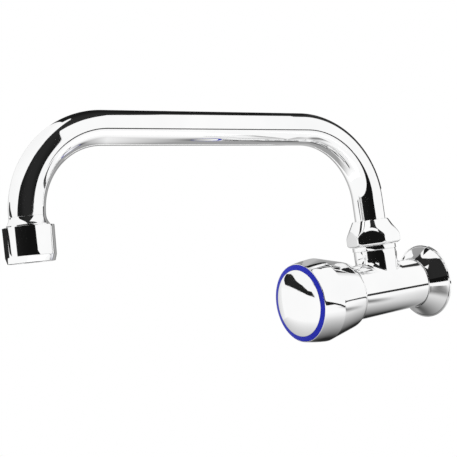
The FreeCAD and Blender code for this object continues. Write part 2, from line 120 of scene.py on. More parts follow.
# Spout
TUBE_RADIUS = 9.0
TUBE_WALL = 1.0
TUBE_FOOT = 34.05
LEG_TOP = 51.8
BASE_BEND_RADIUS = 43.9
BASE_BEND_ANGLE = 86.2
RUN_LENGTH = 121.0
OUTLET_BEND_RADIUS = 42.4
OUTLET_BEND_ANGLE = 91.5
SPOUT_YAW = 3.8

# Outlet tip and aerator housing, as distances down the outlet leg
FLARE_LENGTH = 4.0
FLARE_RADIUS = 10.5
FLARE_HOLLOW = 0.35
TIP_END = 12.0
TIP_THREAD = 10.4
TIP_BORE = 8.0
HOUSING_TOP = 4.7
HOUSING_BOTTOM = 22.0
HOUSING_TOP_RADIUS = 12.5
HOUSING_WAIST_RADIUS = 12.3
HOUSING_BEVEL_RADIUS = 11.4
HOUSING_BEVEL = 3.0
HOUSING_LIP = 2.5
HOUSING_LIP_RADIUS = 9.65
HOUSING_BORE = 10.45

# Knob, index ring and cap
KNOB_BACK = 60.5
KNOB_BACK_RADIUS = 16.0
KNOB_SHOULDER = 65.0
KNOB_SHOULDER_RADIUS = 19.0
KNOB_CREASE = 83.2
KNOB_CREASE_RADIUS = 23.2
KNOB_FRONT = 96.0
KNOB_FRONT_RADIUS = 21.5
KNOB_WALL = 1.8
KNOB_SHOULDER_BULGE = 0.49
KNOB_FRONT_BULGE = 0.2
KNOB_RIM_CHAMFER = 0.25
KNOB_LIP_RADIUS = 15.0
KNOB_LIP_LENGTH = 1.5
KNOB_WEB = 88.0
INSERT_BACK = 81.0
INSERT_FRONT = 90.0
INSERT_RADIUS = 6.2
SCREW_SEAT = 92.0
SCREW_HOLE = 2.1
WELL_RADIUS = 4.1
KNOB_BOSS_RADIUS = 9.0
POCKET_FLOOR = 94.6
POCKET_RADIUS = 21.1
RING_OUTER = 21.05
RING_INNER = 18.35
RING_OUTER_FACE = 96.1
RING_INNER_FACE = 96.8
CAP_RADIUS = 18.3
CAP_RIM = 96.8
CAP_CROWN = 99.3
CAP_WALL = 1.0

# Edge softness
EDGE = 0.12
KNOB_EDGE = 0.16
FINE_EDGE = 0.08
COLLAR_EDGE = 0.06
NUT_SOFTNESS = 0.25
NUT_CHAMFER = 1.2
NUT_BROW = 0.8
NUT_HEEL = 1.1
NUT_HEEL_SLOPE = 0.5
THREAD_SOFTNESS = 0.05
THREAD_SHARPNESS = 0.97
THREAD_RELIEF = 0.9

# Mesh fineness and tolerances
TURN_SEGMENTS = 192
TUBE_SEGMENTS = 144
NUT_SEGMENTS = 360
NUT_ROWS = 90
THREAD_ROWS = 118
DENSE_STEP = 0.02
LEAST_STEPS = 4
BELL_REACHES = 3
ON_AXIS = 0.001
SLOPE_STEP = 0.0001
LEAST_FACING = 0.2
BEND_STEPS = 72
RUN_STEPS = 12
PATCH_ROWS = 21
PATCH_RINGS = 6
FILLET_STEPS = 14
MAX_TURN = math.radians(4.0)
MAX_SPAN = 3.0

# Studio
WORLD_LIGHT = 0.75
FLOOR_HEIGHT = -330.0
FLOOR_HALF_WIDTH = 700.0
FLOOR_GLOW = 0.34
FLOOR_PAINT = ((0.87, 0.87, 0.87), (0.89, 0.89, 0.89))
FLOOR_MOTTLE = 3.0
FLOOR_ROUGHNESS = 0.7
KEY_PLACE = (-500, -700, 1100)
KEY_TARGET = (0, -80, 50)
KEY_SIZE = 800
KEY_POWER = 6.0
CARD_STEP = 1.0
CARD_ROWS = 41
FAR_CENTRE = (0, -130, 60)

# Noise in the materials: its detail, the range that its values keep to, and the usual shine
NOISE_DETAIL = 3.0
NOISE_LOW = 0.3
NOISE_HIGH = 0.7
PLAIN_SHINE = 0.5

# Cards seen only in the chrome, as (name, centre, distance, depth of the faded lower edge, stations).
# Stations are (azimuth, low, high, brightness) with angles in degrees, azimuth 0 straight out from the
# wall and 90 towards +X.
CARDS = (
    ("card_side", FAR_CENTRE, 2200, 0,
     ((-100, 4, 62, 0.95), (-40, 4, 75, 0.98), (10, 4, 70, 1.0), (60, 4, 76, 1.0))),
    ("card_back", FAR_CENTRE, 2190, 14,
     ((174, -40, 50, 1.0), (190, -45, 50, 0.45), (200, -45, 45, 0.3), (236, -40, 40, 0.3),
      (246, -40, 22, 0.3), (265, -30, 12, 0.55), (285, -20, 8, 0.9))),
    ("card_ceiling", FAR_CENTRE, 2170, 0,
     ((46, 58, 62, 0.03), (60, 60, 84, 0.03), (70, 60, 89, 0.03), (80, 59, 89, 0.025),
      (120, 60, 89, 0.025), (160, 62, 89, 0.025),
      (180, 60, 89, 0.025), (185, 57, 89, 0.02), (189, 47, 89, 0.02), (218, 36, 89, 0.02),
      (240, 36, 80, 0.02), (252, 40, 70, 0.04), (258, 44, 60, 0.2))),
    ("flag_room", FAR_CENTRE, 2160, 0,
     ((4, 4, 8, 0.2), (9, 4, 16, 0.02), (14, 4, 29, 0.01), (28, 4, 41, 0.012), (45, 4, 58, 0.02),
      (60, 4, 74, 0.022), (80, 4, 58, 0.022), (108, 4, 4.4, 0.01))),
    ("flag_wedge", FAR_CENTRE, 2155, 0,
     ((-71, 8, 9, 0.02), (-68, 6, 12, 0.015), (-60, 6, 13.5, 0.02), (-56, 5.7, 13, 0.02),
      (-50, 5, 10.5, 0.02), (-40, 3, 8, 0.015), (-33, 1, 4.5, 0.015), (-28, 0, 3.6, 0.015),
      (-25, -1, 0, 0.1))),
    ("flag_horizon", FAR_CENTRE, 2150, 0,
     ((3, -3, 5, 0.1), (5, -3, 5, 0.012), (30, -5, 5, 0.008),
      (60, -9, 5, 0.006), (90, -12, 4, 0.006), (108, -15.5, -9, 0.01), (120, -14.5, -9, 0.03),
      (140, -14.5, -8.5, 0.03), (150, -13, -9, 0.06), (178, -12, -9.5, 0.12))),
    ("near_back", (0, -80, 20), 140, 0,
     ((204, -22, 46, 0.3), (220, -22, 56, 0.35), (228, -22, 60, 0.5), (236, -22, 60, 0.5))),
    ("near_left", (0, -36, 40), 300, 0, ((250, 11, 23, 0.02), (259, 11, 23, 0.02))),
)

# Flat cards close to the tap, as (name, two corners of the lower edge, height, brightness at each end)
BOARDS = (
    ("run_board", ((-40, -215, 118), (-40, -10, 118)), 120, (0.012, 0.012)),
    ("wall_board", ((10, 40, 15), (-70, 40, 15)), 245, (0.04, 0.015)),
    ("barrel_board", ((-40, 10, 20), (0, 10, 20)), 40, (1.0, 1.0)),
    ("outlet_board", ((-45, -229, 38), (-45, -289, 38)), 24, (0.02, 0.02)),
)

# Level cards close to the tap, as (name, two ends, half width, height, brightness)
LEVEL_CARDS = (
    ("nut_light", ((22, -61), (100, -150)), 18, 60, 1.0),
)

# Table top that the chrome shows close under the tap. It holds painted shade behind the tap, dim at
# TABLE_BEHIND, and grows to full brightness over TABLE_OPEN_RIGHT along X and over TABLE_OPEN_FRONT out
# from the wall.
TABLE_HEIGHT = -33.0
TABLE_X = (-160, 90)
TABLE_Y = (-170, 90)
TABLE_STEP = 5.0
TABLE_BEHIND = 0.35
TABLE_OPEN_RIGHT = (-20, 60)
TABLE_OPEN_FRONT = (90, 160)

# Shadows on the table, the tap's own and one beside the flange, as
# (start, end, half width of the core, reach, darkest)
TABLE_SHADOWS = (
    ((-20, -10), (-5, -75), 8.0, 50.0, 0.02),
    ((44, -17), (90, -33), 2.0, 26.0, 0.2),
)

# White card close beside the knob with a dark strip under it, as its lower edge's two ends
KNOB_CARD_ENDS = ((52.0, -95.0, 3.9), (46.1, -64.7, -15.0))
KNOB_CARD_TOP = 14.0
KNOB_CARD_STRIP = 2.9
KNOB_CARD_DARK = 0.01

# Patch of the barrel that is cut out round the boss
PATCH_BACK = 16.0
PATCH_FRONT = 56.0
PATCH_HALF_ANGLE = math.radians(80.6)
BOSS_WALL_FROM = 20.0


# Outlines and surfaces


def dense_outline(steps, closed):
    """Closely spaced points along (height, radius) steps, with arcs as (height, radius, bulge)."""
    if closed and steps[-1][:2] != steps[0][:2]:
        steps = steps + steps[:1]
    rows = []
    for start, end in zip(steps, steps[1:]):
        a = np.array(start[:2], float)
        b = np.array(end[:2], float)
        chord = np.linalg.norm(b - a)
        count = max(int(chord / DENSE_STEP), LEAST_STEPS)
        share = np.arange(count)[:, None] / count
        points = a + (b - a) * share
        if len(end) == 3:
            left = np.array([-(b - a)[1], (b - a)[0]]) / chord
            bulge = end[2]
            radius = (chord ** 2 / 4 + bulge ** 2) / (2 * abs(bulge))
            along = (share - 0.5) * chord
            rise = np.sqrt(radius ** 2 - along ** 2) - (radius - abs(bulge))
            points = points + math.copysign(1, bulge) * rise * left
        rows.append(points)
    rows.append(np.array([steps[-1][:2]], float))
    points = np.vstack(rows)
    return points[:-1] if closed else points


def blurred(points, reach, closed):
    """Round the corners of an outline with a bell-shaped average over the given reach."""
    count = max(int(BELL_REACHES * reach / DENSE_STEP), 1)
    offsets = np.arange(-count, count + 1)
    weights = np.exp(-0.5 * (offsets * DENSE_STEP / reach) ** 2)
    weights /= weights.sum()
    if closed:
        padded = np.vstack([points[-count:], points, points[:count]])
    else:
        before = 2 * points[0] - points[count:0:-1]
        after = 2 * points[-1] - points[-2:-count - 2:-1]
        if points[0, 1] < ON_AXIS:
            before = points[count:0:-1] * [1, -1]
        if points[-1, 1] < ON_AXIS:
            after = points[-2:-count - 2:-1] * [1, -1]
        padded = np.vstack([before, points, after])
    return np.column_stack([np.convolve(padded[:, axis], weights, "valid") for axis in (0, 1)])


def profile(steps, rounding, closed=True):
    """Points and outward normals of a rounded outline, sparse where it is straight."""
    points = blurred(dense_outline(steps, closed), rounding, closed)
    if closed:
        ahead = np.roll(points, -1, axis=0)
        behind = np.roll(points, 1, axis=0)
    else:
        ahead = np.vstack([points[1:], 2 * points[-1:] - points[-2:-1]])
        behind = np.vstack([2 * points[:1] - points[1:2], points[:-1]])
    tangent = ahead - behind
    tangent /= np.linalg.norm(tangent, axis=1)[:, None]
    normal = np.column_stack([-tangent[:, 1], tangent[:, 0]])
    keep = [0]
    for index in range(1, len(points) - 1):
        last = keep[-1]
        bend = math.acos(max(-1.0, min(1.0, float(tangent[index + 1] @ tangent[last]))))
        span = np.linalg.norm(points[index + 1] - points[last])
        if bend > MAX_TURN or span > MAX_SPAN:
            keep.append(index)
    if not closed:
        keep.append(len(points) - 1)
    return points[keep], normal[keep]


def lathe(steps, rounding, closed=True, angles=None):
    """Points, faces and normals of an outline turned about Z. The outline's left side is outside."""
    outline, slopes = profile(steps, rounding, closed)
    if angles is None:
        angles = np.arange(TURN_SEGMENTS) * (2 * math.pi / TURN_SEGMENTS)
    points = []
    normals = []
    rows = []
    total = 0
    for (height, radius), (up, out) in zip(outline, slopes):
        around = angles if radius > ON_AXIS else angles[:1]
        radius = radius if radius > ON_AXIS else 0.0
        out = out if radius else 0.0
        points.append(np.column_stack([radius * np.cos(around), radius * np.sin(around),
                                       np.full(len(around), height)]))
        normals.append(np.column_stack([out * np.cos(around), out * np.sin(around),
                                        np.full(len(around), up)]))
        rows.append(total + np.arange(len(angles)) % len(around))
        total += len(around)
    if closed:
        rows.append(rows[0])
    return np.vstack(points), strips(rows), np.vstack(normals)


def strips(rows, around=True):
    """Faces between neighbouring rows of vertex numbers."""
    faces = []
    for below, above in zip(rows, rows[1:]):
        count = len(below)
        for index in range(count if around else count - 1):
            after = (index + 1) % count
            corners = (below[index], below[after], above[after], above[index])
            faces.append(tuple(dict.fromkeys(int(corner) for corner in corners)))
    return faces


def polar_surface(radius_of, heights, angles):
    """Points, faces and normals of radius_of(angle, height) about Z."""
    height, angle = np.meshgrid(heights, angles, indexing="ij")
    step = SLOPE_STEP
    radius = radius_of(angle, height)
    turn = (radius_of(angle + step, height) - radius_of(angle - step, height)) / (2 * step)
    climb = (radius_of(angle, height + step) - radius_of(angle, height - step)) / (2 * step)
    cos, sin = np.cos(angle), np.sin(angle)
    points = np.stack([radius * cos, radius * sin, height], axis=-1)
    normals = np.stack([cos + turn / radius * sin, sin - turn / radius * cos, -climb], axis=-1)
    rows = np.arange(height.size).reshape(height.shape)
    return points.reshape(-1, 3), strips(list(rows)), normals.reshape(-1, 3)


def disc_ring(inner, outer, normal):
    """Flat strip between two rings of points, all with one normal."""
    count = len(inner)
    rows = [np.arange(count), count + np.arange(count)]
    return np.vstack([inner, outer]), strips(rows), np.tile(np.array(normal, float), (2 * count, 1))


def joined(*parts):
    """Several (points, faces, normals) lists as one."""
    points = []
    faces = []
    normals = []
    offset = 0
    for part_points, part_faces, part_normals in parts:
        points.append(part_points)
        normals.append(part_normals)
        faces.extend(tuple(offset + index for index in face) for face in part_faces)
        offset += len(part_points)
    return np.vstack(points), faces, np.vstack(normals)


def moved(part, matrix):
    """Turn and shift (points, faces, normals) by a matrix whose shift is millimetres."""
    points, faces, normals = part
    turn = np.array(matrix.to_3x3())
    shift = np.array(matrix.to_translation())
    return points @ turn.T + shift, faces, normals @ turn.T


# Pieces of the tap


def spout_line():
    """Rows of x, z and heading in degrees down the middle of the tube, in the spout's own plane."""
    rows = [(0.0, TUBE_FOOT, 90.0), (0.0, (TUBE_FOOT + LEG_TOP) / 2, 90.0), (0.0, LEG_TOP, 90.0)]
    x, z, heading = rows[-1]
    for radius, bend, run in ((BASE_BEND_RADIUS, BASE_BEND_ANGLE, RUN_LENGTH),
                              (OUTLET_BEND_RADIUS, OUTLET_BEND_ANGLE, 0.0)):
        start = math.radians(heading)
        centre_x = x + radius * math.sin(start)
        centre_z = z - radius * math.cos(start)
        for step in range(1, BEND_STEPS + 1):
            turned = heading - bend * step / BEND_STEPS
            angle = math.radians(turned)
            rows.append((centre_x - radius * math.sin(angle), centre_z + radius * math.cos(angle), turned))
        x, z, heading = rows[-1]
        angle = math.radians(heading)
        for step in range(RUN_STEPS if run else 0):
            share = run * (step + 1) / RUN_STEPS
            rows.append((x + share * math.cos(angle), z + share * math.sin(angle), heading))
        x, z, heading = rows[-1]
    return rows


ALONG_BARREL = Matrix.Rotation(math.radians(90), 4, "X")
ON_BOSS = Matrix.Translation((0, -SPOUT_OUT, 0))
SPOUT_PLANE = ON_BOSS @ Matrix.Rotation(math.radians(-90 - SPOUT_YAW), 4, "Z")
END_X, END_Z, END_HEADING = spout_line()[-1]
AT_OUTLET = (SPOUT_PLANE @ Matrix.Translation((END_X, 0, END_Z))
             @ Matrix.Rotation(math.radians(90 - END_HEADING), 4, "Y"))


def without_doubles(part):
    """Merge points that are one, and drop the corners and faces that this closes up.

    Returns the points, the faces and a unit normal for each corner that is left.
    """
    points, faces, normals = part
    places, same = np.unique(np.round(points / MERGE), axis=0, return_inverse=True)
    same = same.reshape(-1)
    merged = np.zeros(places.shape)
    merged[same] = points
    outward = normals / np.linalg.norm(normals, axis=1)[:, None]
    kept_faces = []
    kept_normals = []
    for face in faces:
        corners = [index for spot, index in enumerate(face) if same[index] != same[face[spot - 1]]]
        if len(corners) >= 3:
            kept_faces.append([int(same[index]) for index in corners])
            kept_normals.extend(outward[corners].tolist())
    return merged, kept_faces, kept_normals


def make_piece(name, part, body, slot, material, *nodes):
    """Mesh object in metres with its own normals, riding on a body and standing for CAD nodes."""
    points, faces, normals = without_doubles(part)
    mesh = bpy.data.meshes.new(name)
    mesh.from_pydata((points * MM).tolist(), [], faces)
    mesh.polygons.foreach_set("use_smooth", [True] * len(mesh.polygons))
    mesh.normals_split_custom_set(normals)
    mesh.materials.append(material)
    piece = bpy.data.objects.new(name, mesh)
    bpy.context.scene.collection.objects.link(piece)
    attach(piece, body)
    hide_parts(*nodes)


def barrel_radius(station):
    """Radius of the barrel, straight at the back and widening towards the front."""
    return BARREL_BACK_RADIUS + BARREL_SLOPE * np.maximum(station - BARREL_TAPER_OUT, 0)


def barrel_point(station, angle):
    """Points and normals of the barrel's widening stretch at stations and angles from the top."""
    radius = barrel_radius(station)
    across, along = math.cos(BARREL_TAPER), math.sin(BARREL_TAPER)
    points = np.stack([radius * np.sin(angle), -station, radius * np.cos(angle)], axis=-1)
    normals = np.stack([across * np.sin(angle), np.full(np.shape(station), along),
                        across * np.cos(angle)], axis=-1)
    return points, normals


def fillet_edge(turn):
    """For directions round the boss, the centre of the fillet's rolling ball and its contact.

    The contact with the barrel is a station and an angle from the top.
    """
    reach = BOSS_RADIUS + BOSS_FILLET
    x = reach * np.sin(turn)
    station = SPOUT_OUT + reach * np.cos(turn)
    distance = barrel_radius(station) + BOSS_FILLET / math.cos(BARREL_TAPER)
    height = np.sqrt(distance ** 2 - x ** 2)
    centre = np.stack([x, -station, height], axis=-1)
    contact = station + BOSS_FILLET * math.sin(BARREL_TAPER)
    return centre, contact, np.arctan2(x, height)


def patch_rim(stations, angles, low, high):
    """Stations and angles round the edge of the patch, which lies between two columns of the grid."""
    last = len(stations) - 1
    rim = [(last, column) for column in range(low, high)]
    rim += [(row, high) for row in range(last, 0, -1)]
    rim += [(0, column) for column in range(high, low, -1)]
    rim += [(row, low) for row in range(0, last)]
    return (np.array([stations[row] for row, column in rim]),
            np.array([angles[column] for row, column in rim]))


def fillet_rings(rim_station, rim_angle, turn):
    """Rings of points and normals from the patch's edge over the fillet to the boss's wall."""
    centre, contact_station, contact_angle = fillet_edge(turn)
    rings = []
    for share in np.linspace(1, 0, PATCH_RINGS + 1):
        station = contact_station + (rim_station - contact_station) * share
        angle = contact_angle + (rim_angle - contact_angle) * share
        rings.append(barrel_point(station, angle))
    on_barrel = rings[-1][0] - centre
    outward = np.stack([np.sin(turn), -np.cos(turn), np.zeros(len(turn))], axis=-1)
    on_boss = -outward * BOSS_FILLET
    spread = np.arccos(np.sum(on_barrel * on_boss, axis=1) / BOSS_FILLET ** 2)[:, None]
    for share in np.linspace(0, 1, FILLET_STEPS + 1)[1:]:
        arm = (np.sin((1 - share) * spread) * on_barrel + np.sin(share * spread) * on_boss)
        arm = arm / np.sin(spread)
        rings.append((centre + arm, -arm))
    top = rings[-1][0].copy()
    top[:, 2] = BOSS_WALL_FROM
    rings.append((top, outward))
    return rings


def tee_shell():
    """Barrel between the patch limits with the fillet and boss wall, all on shared vertices.

    Also returns the directions round the boss at which the wall's vertices stand.
    """
    stations = np.linspace(PATCH_BACK, PATCH_FRONT, PATCH_ROWS)
    angles = (np.arange(TURN_SEGMENTS) - TURN_SEGMENTS // 2) * (2 * math.pi / TURN_SEGMENTS)
    low = int(np.argmin(abs(angles + PATCH_HALF_ANGLE)))
    high = int(np.argmin(abs(angles - PATCH_HALF_ANGLE)))
    grid_station, grid_angle = np.meshgrid(stations, angles, indexing="ij")
    points, normals = barrel_point(grid_station, grid_angle)
    rows = np.arange(grid_station.size).reshape(grid_station.shape)
    faces = []
    for back, front in zip(rows, rows[1:]):
        for column in range(TURN_SEGMENTS):
            if not low <= column < high:
                after = (column + 1) % TURN_SEGMENTS
                faces.append((int(back[column]), int(front[column]), int(front[after]), int(back[after])))
    barrel = (points.reshape(-1, 3), faces, normals.reshape(-1, 3))

    rim_station, rim_angle = patch_rim(stations, angles, low, high)
    turn = np.arctan2(rim_angle * BOSS_RADIUS, rim_station - SPOUT_OUT)
    rings = fillet_rings(rim_station, rim_angle, turn)
    ring_rows = np.arange(len(rings) * len(turn)).reshape(len(rings), len(turn))
    patch = (np.vstack([ring[0] for ring in rings]), strips(list(ring_rows)),
             np.vstack([ring[1] for ring in rings]))
    return joined(barrel, patch), turn


def thread_radius(angle, height):
    """Rounded right-hand thread that starts at a chamfer and runs out before the shoulder."""
    phase = height / THREAD_PITCH - angle / (2 * math.pi)
    wave = np.arcsin(THREAD_SHARPNESS * np.sin(2 * math.pi * phase)) / math.asin(THREAD_SHARPNESS)
    fade = np.clip((SHOULDER_OUT - height - THREAD_RELIEF) / THREAD_RELIEF, 0, 1)
    cut = THREAD_RADIUS - THREAD_DEPTH * (0.5 - 0.5 * wave) * fade
    chamfer = THREAD_RADIUS - THREAD_CHAMFER + (height - THREAD_TIP)
    return soft_least(cut, chamfer, THREAD_SOFTNESS)


def soft_least(first, second, softness):
    """The smaller of two values, blended where they are close."""
    least = np.minimum(first, second)
    return least - softness * np.log1p(np.exp(-abs(first - second) / softness))


def tap_body_part():
    """Barrel with its thread and bores, the fillet and the boss with its collar and spigot."""
    thread_heights = np.linspace(THREAD_TIP, SHOULDER_OUT, THREAD_ROWS)
    angles = np.arange(TURN_SEGMENTS) * (2 * math.pi / TURN_SEGMENTS)
    thread = polar_surface(thread_radius, thread_heights, angles)
    back = lathe([(SHOULDER_OUT, THREAD_RADIUS), (SHOULDER_OUT, BARREL_BACK_RADIUS),
                  (BARREL_TAPER_OUT, BARREL_BACK_RADIUS),
                  (PATCH_BACK, float(barrel_radius(PATCH_BACK)))], EDGE, closed=False)
    front = lathe([(PATCH_FRONT, float(barrel_radius(PATCH_FRONT))), (BARREL_FRONT, BARREL_FRONT_RADIUS),
                   (BARREL_FRONT, BARREL_BORE), (BONNET_END, BARREL_BORE), (BONNET_END, CHAMBER_RADIUS),
                   (CHAMBER_BACK, CHAMBER_RADIUS), (CHAMBER_BACK, SEAT_LIP_RADIUS),
                   (SEAT_FACE, SEAT_LIP_RADIUS), (SEAT_FACE, SEAT_BORE), (SUPPLY_BORE_END, SEAT_BORE),
                   (SUPPLY_BORE_END, SUPPLY_BORE), (THREAD_TIP, SUPPLY_BORE)],
                  EDGE, closed=False)
    tip = disc_ring(front[0][-TURN_SEGMENTS:], thread[0][:TURN_SEGMENTS], (0, 0, -1))
    shell, turn = tee_shell()
    boss = lathe([(BOSS_WALL_FROM, BOSS_RADIUS), (BOSS_HEIGHT, BOSS_RADIUS),
                  (BOSS_HEIGHT, BOSS_RADIUS - BOSS_GROOVE), (COLLAR_BOTTOM, BOSS_RADIUS - BOSS_GROOVE),
                  (COLLAR_BOTTOM, COLLAR_RADIUS), (COLLAR_TOP, COLLAR_RADIUS),
                  (COLLAR_TOP, SPIGOT_RADIUS), (SPIGOT_TOP, SPIGOT_RADIUS), (SPIGOT_TOP, PORT_RADIUS),
                  (PORT_FLOOR, PORT_RADIUS), (PORT_FLOOR, 0)],
                 COLLAR_EDGE, closed=False, angles=turn - math.pi / 2)
    return joined(moved(joined(thread, back, front, tip), ALONG_BARREL), shell, moved(boss, ON_BOSS))


def nut_radius(angle, height):
    """Hexagon cut by the cone on top, by the chamfer below and by a soft heel under that."""
    radius = np.full(np.shape(angle), 2.0 * NUT_ACROSS_FLATS)
    for side in range(NUT_SIDES):
        facing = np.cos(angle - math.radians(NUT_TURN - 90 + 360 / NUT_SIDES * side))
        flat = NUT_ACROSS_FLATS / 2 / np.maximum(facing, LEAST_FACING)
        radius = soft_least(radius, flat, NUT_SOFTNESS)
    corner = NUT_ACROSS_FLATS / math.sqrt(3)
    cone = NUT_TOP_RADIUS + (NUT_TOP - height) * math.tan(math.radians(NUT_CONE_ANGLE))
    chamfer = corner - NUT_CHAMFER + (height - NUT_BOTTOM)
    radius = soft_least(soft_least(radius, cone, NUT_SOFTNESS), chamfer, NUT_SOFTNESS)
    rise = np.maximum(NUT_BOTTOM + NUT_HEEL - height, 0)
    return radius - NUT_HEEL_SLOPE * rise ** 2 / NUT_HEEL


def nut_part():
    """Hexagonal nut with its hole for the tube and its bore for the thread."""
    angles = np.arange(NUT_SEGMENTS) * (2 * math.pi / NUT_SEGMENTS)
    brow = NUT_TOP - NUT_BROW
    outside = polar_surface(nut_radius, np.linspace(NUT_BOTTOM, brow, NUT_ROWS), angles)
    brow_radius = float(np.linalg.norm(outside[0][-1][:2]))
    inside = lathe([(brow, brow_radius), (NUT_TOP, NUT_TOP_RADIUS), (NUT_TOP, NUT_HOLE),
                    (NUT_SHOULDER, NUT_HOLE), (NUT_SHOULDER, NUT_BORE), (NUT_BOTTOM, NUT_BORE)],
                   EDGE, closed=False, angles=angles)
    under = disc_ring(inside[0][-NUT_SEGMENTS:], outside[0][:NUT_SEGMENTS], (0, 0, -1))
    return moved(joined(outside, inside, under), ON_BOSS)


def tube_part():
    """Bent tube with its wall, open at both ends."""
    angles = np.arange(TUBE_SEGMENTS) * (2 * math.pi / TUBE_SEGMENTS)
    line = spout_line()
    layers = []
    for radius, outward in ((TUBE_RADIUS, 1), (TUBE_RADIUS - TUBE_WALL, -1)):
        points = []
        normals = []
        for x, z, heading in line:
            slope = math.radians(heading)
            side = np.array([math.sin(slope), 0, -math.cos(slope)])
            spoke = np.outer(np.cos(angles), side) + np.outer(np.sin(angles), [0, 1, 0])
            points.append(np.array([x, 0, z]) + radius * spoke)
            normals.append(outward * spoke)
        rows = [row * TUBE_SEGMENTS + np.arange(TUBE_SEGMENTS) for row in range(len(line))]
        layers.append((np.vstack(points), strips(rows[::outward]), np.vstack(normals)))
    foot_heading, end_heading = math.radians(line[0][2]), math.radians(line[-1][2])
    foot = disc_ring(layers[1][0][:TUBE_SEGMENTS], layers[0][0][:TUBE_SEGMENTS],
                     (-math.cos(foot_heading), 0, -math.sin(foot_heading)))
    end = disc_ring(layers[0][0][-TUBE_SEGMENTS:], layers[1][0][-TUBE_SEGMENTS:],
                    (math.cos(end_heading), 0, math.sin(end_heading)))
    return moved(joined(*layers, foot, end), SPOUT_PLANE)


def wall_flange_part():
    """Hollow bell with a stepped rim."""
    bell = lathe([(0, FLANGE_RADIUS - FLANGE_RIM_WIDTH), (0, FLANGE_RADIUS), (FLANGE_RIM, FLANGE_RADIUS),
                  (FLANGE_RIM, FLANGE_RADIUS - FLANGE_STEP),
                  (FLANGE_DEPTH, FLANGE_BORE + FLANGE_LIP, -FLANGE_SAG), (FLANGE_DEPTH, FLANGE_BORE),
                  (FLANGE_DEPTH - FLANGE_HUB, FLANGE_BORE),
                  (0, FLANGE_RADIUS - FLANGE_RIM_WIDTH, FLANGE_SAG)], EDGE)
    return moved(bell, ALONG_BARREL)


def knob_shell_part():
    """Hollow knob with its pocket for the cap and its boss for the insert."""
    shell = lathe([(KNOB_BACK, KNOB_LIP_RADIUS), (KNOB_BACK, KNOB_BACK_RADIUS),
                   (KNOB_SHOULDER, KNOB_SHOULDER_RADIUS, KNOB_SHOULDER_BULGE),
                   (KNOB_CREASE, KNOB_CREASE_RADIUS),
                   (KNOB_FRONT - KNOB_RIM_CHAMFER, KNOB_FRONT_RADIUS, KNOB_FRONT_BULGE),
                   (KNOB_FRONT, KNOB_FRONT_RADIUS - KNOB_RIM_CHAMFER), (KNOB_FRONT, POCKET_RADIUS),
                   (POCKET_FLOOR, POCKET_RADIUS), (POCKET_FLOOR, WELL_RADIUS), (SCREW_SEAT, WELL_RADIUS),
                   (SCREW_SEAT, SCREW_HOLE), (INSERT_FRONT, SCREW_HOLE), (INSERT_FRONT, INSERT_RADIUS),
                   (INSERT_BACK, INSERT_RADIUS), (INSERT_BACK, KNOB_BOSS_RADIUS),
                   (KNOB_WEB, KNOB_BOSS_RADIUS), (KNOB_WEB, KNOB_FRONT_RADIUS - KNOB_WALL),
                   (KNOB_CREASE, KNOB_CREASE_RADIUS - KNOB_WALL),
                   (KNOB_SHOULDER, KNOB_SHOULDER_RADIUS - KNOB_WALL),
                   (KNOB_BACK + KNOB_LIP_LENGTH, KNOB_LIP_RADIUS)], KNOB_EDGE)
    return moved(shell, ALONG_BARREL)


def index_ring_part():
    """Ring whose face slopes from the cap down to the knob's rim."""
    band = lathe([(POCKET_FLOOR, RING_INNER), (POCKET_FLOOR, RING_OUTER),
                  (RING_OUTER_FACE, RING_OUTER), (RING_INNER_FACE, RING_INNER)], FINE_EDGE)
    return moved(band, ALONG_BARREL)


def half_dome_bulge(radius, rise):
    """How far half of a shallow dome's arc stands off its own chord."""
    ball = (radius ** 2 + rise ** 2) / (2 * rise)
    return ball - math.sqrt(ball ** 2 - (radius ** 2 + rise ** 2) / 4)


def knob_cap_part():
    """Thin cap with a shallow dome."""
    inner = CAP_RADIUS - CAP_WALL
    rise = CAP_CROWN - CAP_RIM
    outside = lathe([(POCKET_FLOOR, inner), (POCKET_FLOOR, CAP_RADIUS), (CAP_RIM, CAP_RADIUS),
                     (CAP_CROWN, 0, half_dome_bulge(CAP_RADIUS, rise))], EDGE, closed=False)
    inside = lathe([(CAP_CROWN - CAP_WALL, 0), (CAP_RIM - CAP_WALL, inner, -half_dome_bulge(inner, rise)),
                    (POCKET_FLOOR, inner)], EDGE, closed=False)
    return moved(joined(outside, inside), ALONG_BARREL)


def outlet_tip_part():
    """Flare at the tube's end with the neck that the housing screws on."""
    tip = lathe([(0, TUBE_RADIUS), (FLARE_LENGTH, FLARE_RADIUS, -FLARE_HOLLOW), (FLARE_LENGTH, TIP_THREAD),
                 (TIP_END, TIP_THREAD), (TIP_END, TIP_BORE), (0, TIP_BORE)], FINE_EDGE)
    return moved(tip, AT_OUTLET)


def aerator_housing_part():
    """Housing that narrows a little, with a bevel and an inner lip at the mouth."""
    housing = lathe([(HOUSING_TOP, HOUSING_BORE), (HOUSING_TOP, HOUSING_TOP_RADIUS),
                     (HOUSING_BOTTOM - HOUSING_BEVEL, HOUSING_WAIST_RADIUS),
                     (HOUSING_BOTTOM, HOUSING_BEVEL_RADIUS), (HOUSING_BOTTOM, HOUSING_LIP_RADIUS),
                     (HOUSING_BOTTOM - HOUSING_LIP, HOUSING_LIP_RADIUS),
                     (HOUSING_BOTTOM - HOUSING_LIP, HOUSING_BORE)], EDGE)
    return moved(housing, AT_OUTLET)


# Materials


def node_tree(name):
    """New material with its node tree, its shader and the coordinates of the piece's own space."""
    material = bpy.data.materials.new(name)
    material.use_nodes = True
    tree = material.node_tree
    shader = tree.nodes["Principled BSDF"]
    place = tree.nodes.new("ShaderNodeTexCoord").outputs["Object"]
    return material, tree, shader, place


